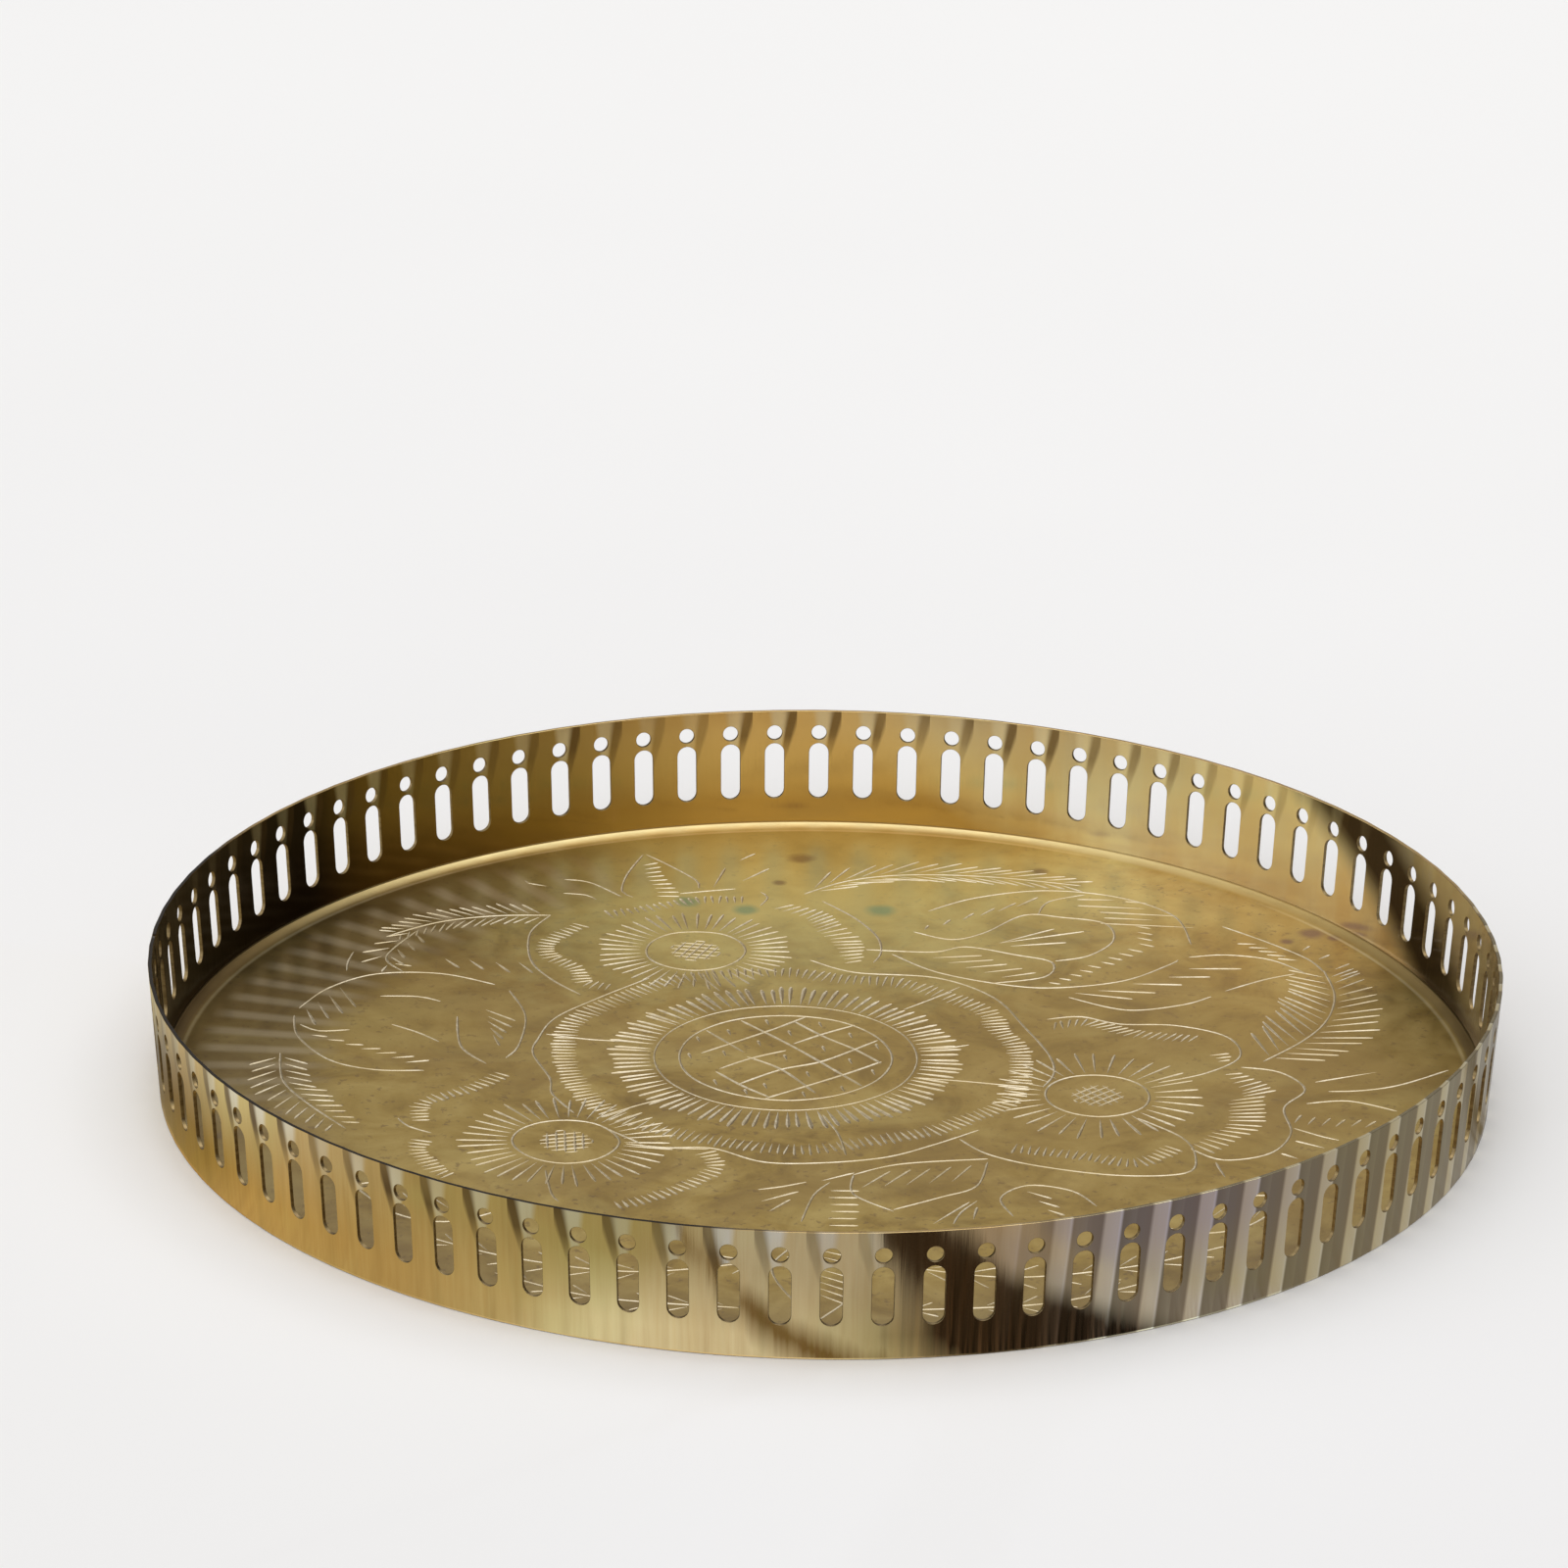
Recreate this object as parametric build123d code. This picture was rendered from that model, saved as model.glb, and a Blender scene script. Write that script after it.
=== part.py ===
"""Round brass gallery tray: a base plate with a turned-up edge, soldered inside a flared and
pierced band. Millimetres, +Z up. The origin is the middle of the underside, on the surface that
the tray stands on. Azimuths are degrees from +Y towards +X."""

from build123d import *
import math
import os

# Overall
RIM_DIAMETER = 350.0
FOOT_DIAMETER = 345.0
HEIGHT = 34.6
SHEET = 1.0

# Piercing: a round dot above an upright slot in every column
COLUMNS = 88
FIRST_COLUMN = -82.70
SLOT_WIDTH = 5.4
SLOT_LENGTH = 16.0
SLOT_Z = 17.2
DOT_DIAMETER = 4.2
DOT_Z = 28.3

# Butt seam of the band, halfway between two columns on the -X side
SEAM_GAP = 0.4
SEAM_SETBACK = 0.3

# Base plate: a flat floor, then an arc that turns the edge up to the band
COVE_WIDTH = 4.6
COVE_RISE = 1.6
PLATE_CLEARANCE = 0.05

# Solder under the turned-up edge: where it starts on the arc, and how far it stays off the ground
SOLDER_START = 22.0
SOLDER_SETBACK = 0.15

RIM_RADIUS = RIM_DIAMETER / 2
FOOT_RADIUS = FOOT_DIAMETER / 2
PITCH = 360.0 / COLUMNS
FLARE = math.degrees(math.atan2(RIM_RADIUS - FOOT_RADIUS, HEIGHT))
LEVEL_WALL = SHEET / math.cos(math.radians(FLARE))
SEAM_AZIMUTH = FIRST_COLUMN - 1.5 * PITCH
LIP_Z = SHEET + COVE_RISE
ARC_RADIUS = (COVE_WIDTH**2 + COVE_RISE**2) / (2 * COVE_RISE)
UNDER_ARC_RADIUS = ARC_RADIUS + SHEET


def outer_radius(z):
    """Radius of the band's outer face at height z."""
    return FOOT_RADIUS + (RIM_RADIUS - FOOT_RADIUS) * z / HEIGHT


def inner_radius(z):
    """Radius of the band's inner face at height z."""
    return outer_radius(z) - LEVEL_WALL


LIP_RADIUS = inner_radius(LIP_Z) - PLATE_CLEARANCE
FLOOR_RADIUS = LIP_RADIUS - COVE_WIDTH


def flared_ring(low, high):
    """The unpierced band between two heights."""
    corners = [
        (inner_radius(low), low),
        (outer_radius(low), low),
        (outer_radius(high), high),
        (inner_radius(high), high),
    ]
    return revolve(make_face(Plane.XZ * Polyline(*corners, close=True)), Axis.Z)


def wall_plane(azimuth, z):
    """A plane in the middle of the sheet at that place, facing out square to the sheet."""
    sideways = Vector(1, 0, 0).rotate(Axis.Z, -azimuth)
    outward = Vector(0, 1, 0).rotate(Axis.X, -FLARE).rotate(Axis.Z, -azimuth)
    middle = Vector(0, outer_radius(z) - LEVEL_WALL / 2, z).rotate(Axis.Z, -azimuth)
    return Plane(origin=middle, x_dir=sideways, z_dir=outward)


def column_punches(azimuth):
    """The punches that pierce one column: its slot and its dot."""
    reach = 2 * SHEET
    slot = wall_plane(azimuth, SLOT_Z) * SlotOverall(SLOT_LENGTH, SLOT_WIDTH, rotation=90)
    dot = wall_plane(azimuth, DOT_Z) * Circle(DOT_DIAMETER / 2)
    return [extrude(outline, amount=reach, both=True) for outline in (slot, dot)]


def seam_slab():
    """An upright slab as thick as the seam's gap, across the band at the seam only."""
    depth = 20 * SHEET
    slab = Pos(0, RIM_RADIUS, HEIGHT / 2) * Box(SEAM_GAP, depth, 2 * HEIGHT)
    return slab.rotate(Axis.Z, -SEAM_AZIMUTH)


def gallery_band():
    """The flared strip, pierced and bent round, with a gap between its two ends."""
    punches = []
    for column in range(COLUMNS):
        punches += column_punches(FIRST_COLUMN + column * PITCH)
    return flared_ring(0, HEIGHT) - punches - seam_slab()


def band_seam():
    """The braze that joins the strip's two ends, set back a little from both edges."""
    return flared_ring(SEAM_SETBACK, HEIGHT - SEAM_SETBACK) & seam_slab()


def edge_arc(radius, start, end):
    """The part of a turned-up edge's arc between two angles, from its lowest point."""
    centre = (FLOOR_RADIUS, SHEET + ARC_RADIUS)
    return CenterArc(centre, radius, start - 90, end - start)


def under_arc_angle():
    """Where the underside's arc meets the band, less the plate's clearance."""
    angle = 0.0
    for _ in range(10):
        z = UNDER_ARC_RADIUS * (1 - math.cos(math.radians(angle)))
        run = inner_radius(z) - PLATE_CLEARANCE - FLOOR_RADIUS
        angle = math.degrees(math.asin(run / UNDER_ARC_RADIUS))
    return angle


def base_plate():
    """The round plate: a flat floor with its edge turned up in an arc against the band."""
    top = edge_arc(ARC_RADIUS, 0, math.degrees(math.asin(COVE_WIDTH / ARC_RADIUS)))
    under = edge_arc(UNDER_ARC_RADIUS, 0, under_arc_angle())
    section = [
        Line((0, 0), under @ 0),
        under,
        Line(under @ 1, top @ 1),
        top,
        Line(top @ 0, (0, SHEET)),
        Line((0, SHEET), (0, 0)),
    ]
    return revolve(make_face([Plane.XZ * edge for edge in section]), Axis.Z)


def edge_solder():
    """The ring of solder in the corner under the plate's turned-up edge."""
    under = edge_arc(UNDER_ARC_RADIUS, SOLDER_START, under_arc_angle())
    top_z = (under @ 1).Y
    section = [
        under,
        Line(under @ 1, (inner_radius(top_z), top_z)),
        Line((inner_radius(top_z), top_z), (inner_radius(SOLDER_SETBACK), SOLDER_SETBACK)),
        Line((inner_radius(SOLDER_SETBACK), SOLDER_SETBACK), under @ 0),
    ]
    return revolve(make_face([Plane.XZ * edge for edge in section]), Axis.Z)


PIECES = {
    "base_plate": base_plate,
    "gallery_band": gallery_band,
    "band_seam": band_seam,
    "edge_solder": edge_solder,
}

os.makedirs("parts", exist_ok=True)
for node, build_piece in PIECES.items():
    export_step(build_piece(), f"parts/{node}.step")
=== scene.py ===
"""Looks of the round brass gallery tray: an engraved, aged floor in a polished, pierced band.

Lengths are metres. The engraving is laid out in millimetres on the floor, x to the right and y to
the back, and scaled when it is cut.
"""

import math
import random

import bpy
from mathutils import Matrix, Vector, kdtree
from mathutils.geometry import delaunay_2d_cdt


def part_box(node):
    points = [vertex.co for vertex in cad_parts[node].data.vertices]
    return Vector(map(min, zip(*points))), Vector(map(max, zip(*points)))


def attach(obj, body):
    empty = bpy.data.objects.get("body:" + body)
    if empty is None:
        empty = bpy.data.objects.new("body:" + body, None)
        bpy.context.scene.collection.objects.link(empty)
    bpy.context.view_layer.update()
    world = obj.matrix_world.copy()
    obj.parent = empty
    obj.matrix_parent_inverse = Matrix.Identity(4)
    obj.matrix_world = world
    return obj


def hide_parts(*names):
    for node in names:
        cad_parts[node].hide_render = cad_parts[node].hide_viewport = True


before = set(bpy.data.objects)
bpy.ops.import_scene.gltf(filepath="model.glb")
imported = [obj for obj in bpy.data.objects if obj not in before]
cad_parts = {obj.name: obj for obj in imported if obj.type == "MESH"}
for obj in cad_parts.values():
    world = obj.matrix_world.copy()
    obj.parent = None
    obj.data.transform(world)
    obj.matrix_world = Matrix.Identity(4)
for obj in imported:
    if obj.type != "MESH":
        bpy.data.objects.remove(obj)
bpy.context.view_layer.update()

MM = 0.001

# ------------ sizes read from the frame
_, BAND_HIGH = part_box("gallery_band")
_, PLATE_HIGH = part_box("base_plate")
HEIGHT = BAND_HIGH.z
RIM_RADIUS = BAND_HIGH.y

# Sizes that the design gives and a box can't show
SHEET = 1.0 * MM
FOOT_RADIUS = 172.5 * MM
COVE_WIDTH = 4.6 * MM
COVE_RISE = PLATE_HIGH.z - SHEET
COLUMNS = 88
FIRST_COLUMN = math.radians(-82.70)
SLOT_WIDTH = 5.4 * MM
SLOT_LENGTH = 16.0 * MM
SLOT_Z = 17.2 * MM
DOT_RADIUS = 2.1 * MM
DOT_Z = 28.3 * MM
SEAM_GAP = 0.4 * MM
EDGE_BREAK = 0.12 * MM

PITCH = math.tau / COLUMNS
FLARE = math.atan2(RIM_RADIUS - FOOT_RADIUS, HEIGHT)
LEVEL_WALL = SHEET / math.cos(FLARE)
COVE_RADIUS = (COVE_WIDTH**2 + COVE_RISE**2) / (2 * COVE_RISE)
LIP_GAP = 0.05 * MM
LIP_RADIUS = FOOT_RADIUS + (RIM_RADIUS - FOOT_RADIUS) * PLATE_HIGH.z / HEIGHT - LEVEL_WALL - LIP_GAP
FLOOR_RADIUS = LIP_RADIUS - COVE_WIDTH


# ------------ curves on the floor
CURVE_STEP = 2.0


def smooth(points, closed=False):
    """Points about a step apart on a smooth curve through the given points."""
    corners = [Vector(p) for p in points]
    count = len(corners)
    spans = count if closed else count - 1
    curve = []
    for i in range(spans):
        if closed:
            before, start, end, after = (corners[(i + k) % count] for k in (-1, 0, 1, 2))
        else:
            before = corners[max(i - 1, 0)]
            start, end = corners[i], corners[i + 1]
            after = corners[min(i + 2, count - 1)]
        slope = end - before
        bend = 2 * before - 5 * start + 4 * end - after
        twist = 3 * start - before - 3 * end + after
        pieces = max(1, round((end - start).length / CURVE_STEP))
        for k in range(pieces):
            t = k / pieces
            curve.append(0.5 * (2 * start + slope * t + bend * t**2 + twist * t**3))
    if not closed:
        curve.append(corners[-1])
    return curve


def walk(curve, share):
    """The point and the direction at a share of the way along a curve."""
    lengths = [(b - a).length for a, b in zip(curve, curve[1:])]
    left = share * sum(lengths)
    for a, b, length in zip(curve, curve[1:], lengths):
        if left <= length or b is curve[-1]:
            return a.lerp(b, min(left / length, 1.0)), (b - a).normalized()
        left -= length


def turned(direction, degrees):
    """A direction turned anticlockwise."""
    return Matrix.Rotation(math.radians(degrees), 2) @ direction


def polar(centre, radius, degrees):
    """A point round a centre, anticlockwise from the right."""
    angle = math.radians(degrees)
    return Vector(centre) + radius * Vector((math.cos(angle), math.sin(angle)))


# ------------ chisel cuts
LINE_WIDTH = 0.65
DASH_WIDTH = 0.9
FINE_WIDTH = 0.6
CUT_SLOPE = 0.42  # a cut's depth over half its width
WOBBLE = random.Random(7)

cuts = []  # each is a list of (point, half width) along one cut


def scribe(points, closed=False, width=LINE_WIDTH):
    """A long line cut along a smooth curve, thinning out at open ends."""
    curve = smooth(points, closed)
    stations = []
    for i, point in enumerate(curve):
        ends = 1.0 if closed else min(1.0, 0.35 + 0.5 * min(i, len(curve) - 1 - i))
        stations.append((point, width / 2 * ends * WOBBLE.uniform(0.85, 1.15)))
    if closed:
        stations.append(stations[0])
    cuts.append(stations)


def scribes(*lines, width=LINE_WIDTH):
    """Several long lines, each given by its points."""
    for points in lines:
        scribe(points, width=width)


def dash(start, end, width=DASH_WIDTH):
    """A short chisel stroke: it enters thin at start and ends blunt."""
    start, end = Vector(start), Vector(end)
    shape = ((0.0, 0.12), (0.4, 0.75), (0.85, 1.0), (1.0, 0.5))
    half = width / 2 * WOBBLE.uniform(0.85, 1.1)
    cuts.append([(start.lerp(end, share), half * part) for share, part in shape])


def dashes(*pairs, width=DASH_WIDTH):
    """Several chisel strokes, each given by its two ends."""
    for start, end in pairs:
        dash(start, end, width)


def hatch(first, last, count, width=DASH_WIDTH):
    """Strokes evenly spread from the first to the last, each given by its two ends."""
    for i in range(count):
        share = i / (count - 1)
        start = Vector(first[0]).lerp(Vector(last[0]), share)
        end = Vector(first[1]).lerp(Vector(last[1]), share)
        slip = WOBBLE.uniform(-0.5, 0.5) * (end - start).normalized()
        dash(start + slip, end + slip, width)


def fringe(points, length, spacing=2.0, closed=False, width=0.85, lean=90):
    """A close row of short strokes across a smooth curve."""
    curve = smooth(points, closed)
    if closed:
        curve.append(curve[0])
    total = sum((b - a).length for a, b in zip(curve, curve[1:]))
    count = round(total / spacing)
    for i in range(count):
        point, direction = walk(curve, (i + 0.5) / count)
        across = turned(direction, lean + WOBBLE.uniform(-6, 6))
        half = length / 2 * WOBBLE.uniform(0.85, 1.15)
        dash(point - across * half, point + across * half, width)


def fern(stem, count, left, right, lean=35, start=0.06, width=DASH_WIDTH):
    """A fern: a stem with strokes leaning forward on both sides, shorter towards the tip."""
    curve = smooth(stem)
    scribe(stem)
    for i in range(count):
        share = start + (1 - start) * i / count
        point, direction = walk(curve, share)
        shrink = 0.35 + 0.65 * math.sin(math.pi * (0.25 + 0.7 * share))
        for side, length in ((1, left), (-1, right)):
            if length:
                out = turned(direction, side * lean + WOBBLE.uniform(-4, 4))
                reach = length * shrink * WOBBLE.uniform(0.9, 1.1)
                foot = point + turned(direction, side * 90) * 1.2
                dash(foot, foot + out * reach, width)


def ray_ring(centre, inner, outer, count, width=DASH_WIDTH, swirl=0.0):
    """Strokes round a centre, pointing outwards."""
    for i in range(count):
        degrees = 360 * i / count + WOBBLE.uniform(-1.0, 1.0)
        reach = outer + WOBBLE.uniform(-1.2, 1.2)
        dash(polar(centre, inner, degrees), polar(centre, reach, degrees + swirl), width)


def circle(centre, radius, wobble=0.3, width=LINE_WIDTH):
    """A hand-cut circle."""
    around = [polar(centre, radius + WOBBLE.uniform(-wobble, wobble), a) for a in range(0, 360, 30)]
    scribe(around, closed=True, width=width)


def lattice(centre, radius, spacing, tilt, width=0.8):
    """Two sets of crossing lines inside a circle."""
    for angle in (tilt, tilt + 78):
        along = polar((0, 0), 1, angle)
        across = turned(along, 90)
        steps = int(radius / spacing)
        for k in range(-steps, steps + 1):
            offset = k * spacing + WOBBLE.uniform(-0.1, 0.1) * spacing
            half = math.sqrt(max(radius**2 - offset**2, 0)) - 0.4
            if half > spacing / 3:
                middle = Vector(centre) + across * offset
                scribe([middle - along * half, middle, middle + along * half], width=width)


# ------------ the drawing
def central_flower():
    """The large flower: a latticed disc, dashed rings and a border of dashed petals."""
    centre = (-10, 8)
    circle(centre, 28)
    circle(centre, 34.5, width=0.5)
    ray_ring(centre, 35.5, 46, 94, width=1.35)
    petals = [
        (5, 61), (20, 59), (33, 50), (43, 40), (46, 28), (51, 15), (51, -5), (47, -20),
        (37, -30), (28, -38), (12, -45), (-5, -51), (-25, -47), (-46, -37), (-58, -25),
        (-65, -8), (-68, 10), (-66, 30), (-50, 50), (-38, 60), (-22, 64), (-8, 65),
    ]
    fringe(petals, length=6.3, closed=True)
    scribes(
        [(36, 57), (29, 49), (21, 41)], [(38, 18), (33, 16), (28, 15)], [(24, -4), (37, -6), (52, -9)],
        [(0, -29), (4, -41), (6, -54)], [(-58, -33), (-47, -24), (-36, -17)],
        [(-73, 21), (-62, 18), (-52, 17)], [(-33, 64), (-31, 58), (-28, 52)],
        [(-4, 74), (8, 66), (30, 63), (45, 50), (53, 30), (59, 12), (60, 0), (57, -9)],
        [(-47, 60), (-60, 46), (-71, 32), (-75, 18), (-76, 8), (-71, -8), (-70, -18), (-64, -30)],
        [(-50, -49), (-40, -51), (-28, -51), (-15, -59), (0, -59), (16, -55), (28, -47), (40, -37)],
    )
    scribes(
        [(-32, 10), (-15, 25), (-5, 35)], [(-27, 0), (-19, 7), (-10, 12.5)], [(-8, 17), (0, 24), (8, 30)],
        [(-22, -10), (-11, 0), (0, 6), (14, 20)], [(-15, -19), (5, -3), (15, 6)],
        [(-31, 25), (-26, 18), (-21, 11)], [(-22, 32), (-8, 15), (5, -3), (10, -10)],
        [(-8, 32), (0, 22), (8, 14), (15, 5)], [(-20, 8), (-11, 0), (-2, -15)],
        [(-28, -2), (-21, -11), (-14, -18)],
        width=0.85,
    )
    for x, y in (
        (-25, 24), (-15, 31), (-9, 24), (-1, 30), (7, 23), (-33, 19), (-17, 17), (-26, 10), (-10, 8),
        (0, 14), (7, 6), (-4, -3), (13, -1), (-15, -11), (5, -12), (-28, -9), (-5, -16), (14, 16),
        (-35, 8), (-20, -15),
    ):
        dash((x + 0.4, y - 1.8), (x - 0.4, y + 1.8))


def rosette(centre, rays, tilt, reach=26):
    """A smaller flower: a crosshatched eye, a ring and long rays."""
    lattice(centre, 7, 2.3, tilt)
    circle(centre, 13.5)
    ray_ring(centre, 15, reach, rays)


def left_flower():
    """The flower at the upper left, with its dashed border and wavy outlines."""
    rosette((-35, 79.5), 44, -10)
    border = [(-66, 97), (-75, 84), (-74, 74), (-67, 66), (-64, 56), (-57, 53)]
    fringe(border, length=5)
    fringe([(-60, 104), (-50, 108), (-36, 115), (-22, 116)], length=5)
    hatch(((-14, 110), (-9, 113)), ((-5.5, 103), (-1, 108.5)), 5)
    hatch(((-5, 101.5), (0.5, 107)), ((-2, 94.5), (4.5, 100)), 5)
    hatch(((-1, 93), (6, 97)), ((2, 87), (10, 88)), 4)
    hatch(((2.5, 85), (10.5, 86)), ((5.5, 72.5), (10, 74.5)), 6)
    scribes(
        [(-75, 103), (-80, 90), (-79, 71), (-73, 58), (-65, 48)],
        [(-1, 116), (8, 104), (14, 91), (15, 80), (13, 73)], [(-40, 120), (-33, 122), (-25, 124)],
        [(-18, 122), (-16, 118), (-18, 112)],
    )


def right_flower():
    """The flower at the right."""
    rosette((71, -14), 32, 45, reach=27)
    fringe([(60, 31), (70, 34), (82, 27), (98, 24)], length=5.5, lean=65)
    hatch(((101.5, 13.5), (106.5, 15)), ((103, 9.5), (106, 10.5)), 3)
    hatch(((104.5, 1), (109, 2)), ((108, -7), (114, -3)), 4)
    hatch(((108.5, -9.5), (115, -5)), ((108.5, -13), (117, -9)), 3)
    hatch(((105, -16), (114, -13)), ((104.5, -28.5), (114, -28.5)), 7)
    hatch(((104, -31), (113, -32)), ((95, -44), (100, -49.5)), 8)
    fringe([(90, -46), (80, -56), (66, -52), (48, -48)], length=5.5)
    scribes(
        [(59, 36), (68, 38), (78, 33.5), (93, 33), (106, 26), (109, 13), (100, 2), (87, -5)],
        [(109, 6), (119, 3), (125, -8), (119, -20), (120, -36), (114, -49), (102, -53.5), (94, -47)],
        [(81, -28), (92, -40), (95, -52), (92, -62), (75, -64), (55, -59), (42, -52), (35, -43)],
    )


def lower_flower():
    """The flower at the lower left."""
    rosette((-65.5, -48), 40, 15, reach=27)
    fringe([(-30, -53), (-27, -63), (-34, -74), (-46, -84), (-52, -87)], length=5)
    fringe([(-83, -5), (-91, -15), (-103, -25), (-103, -37)], length=5)
    fringe([(-102, -48), (-103, -55), (-98, -66), (-94, -71)], length=5)
    scribes(
        [(-50, -49), (-40, -51), (-29, -51.5)], [(-109, -35), (-106, -40), (-100, -44)],
        [(-70, -66), (-68, -80), (-66, -85)], [(-57, -38), (-50, -45), (-46, -49)],
    )


def bud():
    """The half-open bud at the upper right, with its rows of short strokes."""
    scribes(
        [(28, 110), (41, 120), (60, 126), (80, 122), (95, 109), (99, 89)],
        [(18, 79), (30, 67), (48, 59), (62, 57.5), (80, 63), (93, 75), (95, 78)],
        [(11, 82), (29, 81), (38, 85), (51, 80), (61, 75), (59, 65), (45, 60)],
        [(24, 95), (34, 90), (43, 95), (54, 108), (64, 107), (76, 103), (78, 91), (71, 80), (62, 76)],
        [(58, 109), (61, 118), (71, 123.5)],
    )
    dashes(
        ((79, 120), (69, 120)), ((88, 118), (82, 119)), ((87, 114), (69, 115.5)),
        ((96, 109), (75, 111)), ((89, 106), (76, 107)), ((100, 101), (75, 103)),
    )
    hatch(((84, 101.5), (88, 100)), ((85, 89), (89, 87)), 4)
    hatch(((82, 85), (86, 83)), ((60, 61), (63, 60)), 9)
    hatch(((27, 97), (28, 100)), ((52, 114), (58, 121)), 6)
    dashes(((47, 88), (62, 98.5)), ((47, 88), (70, 97)), ((50, 86), (65, 89)))
    hatch(((29, 77), (42, 79)), ((47, 64), (56, 67.5)), 5)
    hatch(((73, 56), (88, 55)), ((92, 66), (103, 66.5)), 3)
    hatch(((67, 54), (82, 50.5)), ((98, 72), (112, 72.5)), 2)
    scribes(
        [(98, 80), (108, 82), (120, 79), (129, 70)], [(107, 57), (112, 61), (119, 66), (126, 69.5)],
        [(65, 51), (80, 43), (95, 47), (103, 53)],
    )


def ferns():
    """The feathery sprays that fill the ground near the rim."""
    top = [(-6, 121), (6, 131), (22, 136), (45, 135.5), (70, 130)]
    fern(top, 15, left=14, right=12, lean=23)
    fern([(115, 10), (126, 24), (133, 38), (136, 55), (134, 72)], 15, left=17, right=15, lean=55)
    scribe([(134, 71), (130, 80), (120, 91), (108, 102)])
    hatch(((127, 79), (122, 80)), ((117, 90), (112, 90)), 5)
    dashes(((133, 80), (136, 83)), ((129, 86), (131, 89)), ((138, 68), (143, 72)), ((137, 73), (141, 77)))
    upper_left = [(-75, 103), (-90, 102), (-105, 97), (-118, 87)]
    fern(upper_left, 15, left=7, right=9, lean=48)
    second = [(-111, 90), (-118, 72), (-113, 62)]
    fern(second, 5, left=7, right=7, lean=45)
    left = [(-142, 6), (-140, -12), (-133, -26), (-122, -42)]
    fern(left, 12, left=8, right=9, lean=55)
    scribe([(-127, 75), (-128, 68), (-128, 62)])
    hatch(((-102, 71), (-98, 65)), ((-82, 69), (-78, 62)), 4)
    scribe([(131, -9), (140, -8), (150, -4), (163, 6)])
    dash((144, 4), (128, -3))
    scribe([(125, -17), (136, -15), (148, -21)])
    hatch(((121, -30), (123, -25)), ((139, -32), (142, -28)), 6)
    scribe([(121, -33), (128, -38), (132, -40)])
    dashes(((128, -45), (121, -41)), ((121, -52), (117, -49)))


def leaves():
    """The veined leaves between the flowers."""
    scribes(
        [(-51, 148), (-55, 133), (-56, 121), (-53, 117)], [(-50, 148), (-44, 141), (-36, 130), (-35, 124)],
    )
    hatch(((-51, 140), (-47, 142)), ((-46, 118), (-40, 118)), 9)
    dashes(((-31, 125), (-28, 139)), ((-23, 130), (-16, 139)), ((-24, 145), (-20, 150)))
    scribes(
        [(-72, 129), (-65, 127), (-56, 117)], [(-83, 128), (-82, 126), (-77, 124)],
        [(-72, 119), (-66, 118), (-63, 115)],
    )

    scribes(
        [(-139, 36), (-132, 50), (-120, 60), (-103, 61), (-88, 54)],
        [(-84, 50), (-79, 33), (-80, 13), (-83, 5)],
        [(-140, 31), (-138, 17), (-129, 2), (-117, -4), (-104, -4)], [(-138, 25), (-133, 21), (-125, 22)],
    )
    hatch(((-137, 35), (-134, 25)), ((-129, 50), (-124, 37)), 4)
    hatch(((-134, 18), (-130, 17)), ((-109, 1), (-103, 2.5)), 7)
    hatch(((-90, 37), (-82, 30)), ((-87, 20), (-85, 13)), 5)
    scribes(
        [(-118, 45), (-108, 45), (-102, 42)], [(-114, 26), (-107, 21), (-101, 15)],
        [(-97, 32), (-95, 12), (-88, 1)],
        width=0.7,
    )

    scribes(
        [(8, -66), (20, -59), (42, -55)], [(8, -66), (8, -78), (18, -88)],
        [(42, -57), (39, -72), (30, -79), (18, -87)],
    )
    hatch(((10, -74), (17, -64)), ((33, -69), (38, -59)), 5)
    scribes([(2, -71), (-2, -79), (-5, -95)], [(-16, -76), (-10, -74), (-4, -71)])
    dashes(((-15, -83), (-6, -77)), ((-13, -89), (-8, -82)), ((0, -70), (8, -65)))
    hatch(((2, -76), (9, -76)), ((2, -97), (9, -97)), 6)

    scribe([(48, -90), (45, -79), (52, -71), (63, -74), (69, -83)])
    hatch(((52, -75), (58, -79)), ((57, -86), (61, -89)), 3)
    scribe([(33, -95), (35, -88), (39, -81)])
    dashes(((28, -95), (37, -82)), ((38, -92), (39, -85)))
    scribe([(100, -55), (101, -60), (102, -64)])


def front_sprays():
    """The part of the drawing that the front of the band hides in most views."""
    for side in (-1, 1):
        inner = [(side * 12, -118), (side * 45, -126), (side * 76, -119), (side * 100, -106)]
        fern(inner, 9, left=9, right=9, width=FINE_WIDTH)
        outer = [(side * 20, -146), (side * 55, -141), (side * 80, -128)]
        fern(outer, 7, left=6, right=6, width=FINE_WIDTH)
        scribe([(side * 78, -89), (side * 92, -98), (side * 106, -94), (side * 118, -77)])
        scribe([(side * 78, -89), (side * 94, -81), (side * 110, -75), (side * 118, -77)])
        veins = ((side * 82, -91), (side * 88, -85)), ((side * 108, -89), (side * 112, -80))
        hatch(*veins, 8, width=FINE_WIDTH)
        scribe([(side * 6, -108), (side * 12, -122), (side * 8, -138), (0, -152)])
        hatch(((0, -112), (side * 8, -116)), ((0, -138), (side * 6, -143)), 8, width=FINE_WIDTH)


# ------------ the floor's mesh
CELL = 6.0  # mm, for looking up which cuts are near a point
CUT_FACE = 0.002  # mm, how deep the middle of a face has to be to count as cut


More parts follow.
